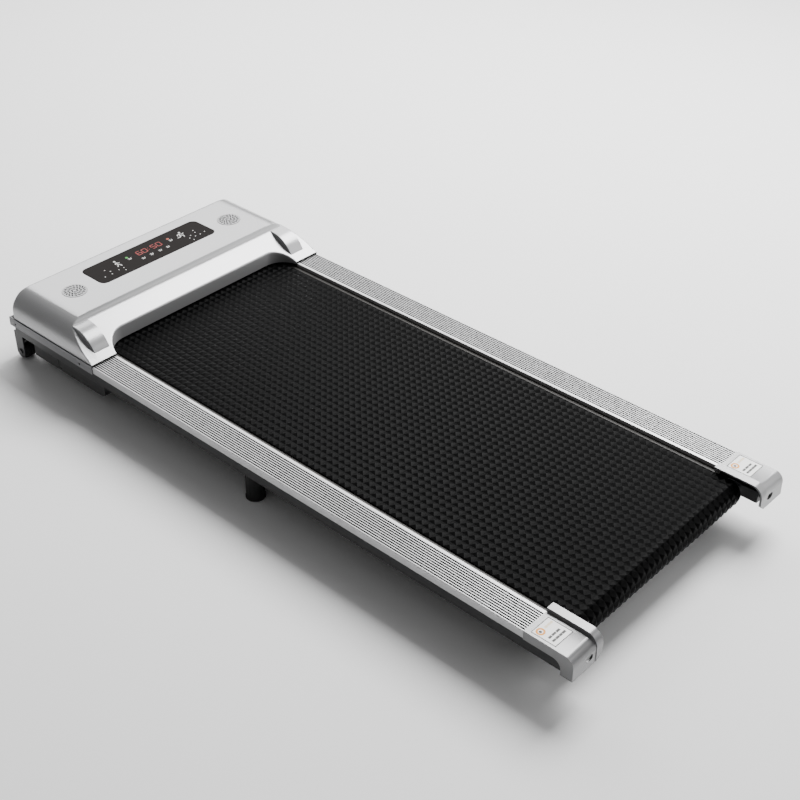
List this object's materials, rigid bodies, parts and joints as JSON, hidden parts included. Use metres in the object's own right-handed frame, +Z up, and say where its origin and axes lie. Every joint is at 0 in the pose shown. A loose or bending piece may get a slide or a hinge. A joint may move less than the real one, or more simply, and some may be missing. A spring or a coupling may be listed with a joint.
{
  "type": "walking pad treadmill",
  "caption": "Flat under-desk walking treadmill: motor-driven belt over a deck, grooved foot rails, low silver drive hood with display, transport wheels and feet.",
  "frame": {"origin": "on the floor, below the centre of the overall box", "axes": "+X to the user's right, +Y along the machine towards the motor hood, +Z up; the user walks towards +Y"},
  "size_m": [0.504, 1.187, 0.135],
  "materials": {
    "silver": "satin silver paint",
    "grey_plastic": "satin",
    "dark_plastic": "fine texture",
    "aluminium": "satin anodised",
    "black_steel": "powder coat",
    "steel": "ground",
    "rubber": "matt",
    "display": "smoked gloss",
    "fibreboard": "black laminate",
    "circuit": "solder resist",
    "motor_paint": "semi-gloss"
  },
  "bodies": {
    "chassis": {"hood": "silver", "head_base": "grey_plastic", "display_panel": "display", "display_board": "circuit", "speaker_grille_left": "silver", "speaker_left": "dark_plastic", "speaker_grille_right": "silver", "speaker_right": "dark_plastic", "handrail_socket_cover_right": "silver", "handrail_socket_cover_left": "silver", "power_inlet": "dark_plastic", "power_switch_body": "dark_plastic", "front_axle": "steel", "front_axle_block_right": "black_steel", "front_axle_block_left": "black_steel", "rear_axle": "steel", "rear_axle_block_right": "black_steel", "rear_axle_block_left": "black_steel", "running_belt": "rubber", "motor_body": "motor_paint", "drive_belt": "rubber", "front_beam": "black_steel", "motor_saddle": "black_steel", "motor_controller": "circuit", "side_frame_right": "black_steel", "side_frame_left": "black_steel", "deck_board": "fibreboard", "cross_member_rear": "black_steel", "cross_member_middle": "black_steel", "cross_member_front": "black_steel", "deck_cushion_rear_right": "rubber", "deck_cushion_rear_left": "rubber", "deck_cushion_front_right": "rubber", "deck_cushion_front_left": "rubber", "foot_rail_right": "aluminium", "foot_rail_left": "aluminium", "end_cap_right": "silver", "end_cap_left": "silver", "bottom_pan": "dark_plastic", "wheel_bracket_right": "black_steel", "wheel_bracket_left": "black_steel", "wheel_pin_right": "steel", "wheel_pin_left": "steel", "middle_foot_right": "rubber", "middle_foot_left": "rubber", "rear_foot_bar": "black_steel", "rear_foot_right": "rubber", "rear_foot_left": "rubber"},
    "front_roller_body": {"front_roller": "steel", "roller_pulley": "dark_plastic"},
    "rear_roller_body": {"rear_roller": "steel"},
    "motor_rotor": {"motor_shaft": "steel", "motor_pulley": "steel", "flywheel": "steel"},
    "wheel_right": {"transport_wheel_right": "rubber"},
    "wheel_left": {"transport_wheel_left": "rubber"},
    "rocker": {"power_rocker": "rubber"},
    "bolt_right": {"tension_bolt_right": "steel"},
    "bolt_left": {"tension_bolt_left": "steel"}
  },
  "joints": [
    {"name": "front_roller_spin", "type": "hinge", "parent": "chassis", "child": "front_roller_body", "pos_m": [0, 0.426, 0.061], "axis": [1, 0, 0], "continuous": true},
    {"name": "rear_roller_spin", "type": "hinge", "parent": "chassis", "child": "rear_roller_body", "pos_m": [0, -0.5405, 0.061], "axis": [1, 0, 0], "continuous": true},
    {"name": "motor_spin", "type": "hinge", "parent": "chassis", "child": "motor_rotor", "pos_m": [0, 0.50755, 0.07625], "axis": [1, 0, 0], "continuous": true},
    {"name": "wheel_right_spin", "type": "hinge", "parent": "chassis", "child": "wheel_right", "pos_m": [0.23, 0.5795, 0.014], "axis": [1, 0, 0], "continuous": true},
    {"name": "wheel_left_spin", "type": "hinge", "parent": "chassis", "child": "wheel_left", "pos_m": [-0.23, 0.5795, 0.014], "axis": [1, 0, 0], "continuous": true},
    {"name": "power_rocker_tilt", "type": "hinge", "parent": "chassis", "child": "rocker", "pos_m": [-0.105, 0.5732, 0.10715], "axis": [1, 0, 0], "range_deg": [-16, 0]},
    {"name": "tension_bolt_right_turn", "type": "hinge", "parent": "chassis", "child": "bolt_right", "pos_m": [0.216, -0.55, 0.061], "axis": [0, 1, 0], "range_deg": [-720, 720]},
    {"name": "tension_bolt_left_turn", "type": "hinge", "parent": "chassis", "child": "bolt_left", "pos_m": [-0.216, -0.55, 0.061], "axis": [0, 1, 0], "range_deg": [-720, 720]}
  ],
  "couplings": [
    {"joint": "rear_roller_spin", "follows": "front_roller_spin", "ratio": 1},
    {"joint": "motor_spin", "follows": "front_roller_spin", "ratio": 2.5}
  ]
}
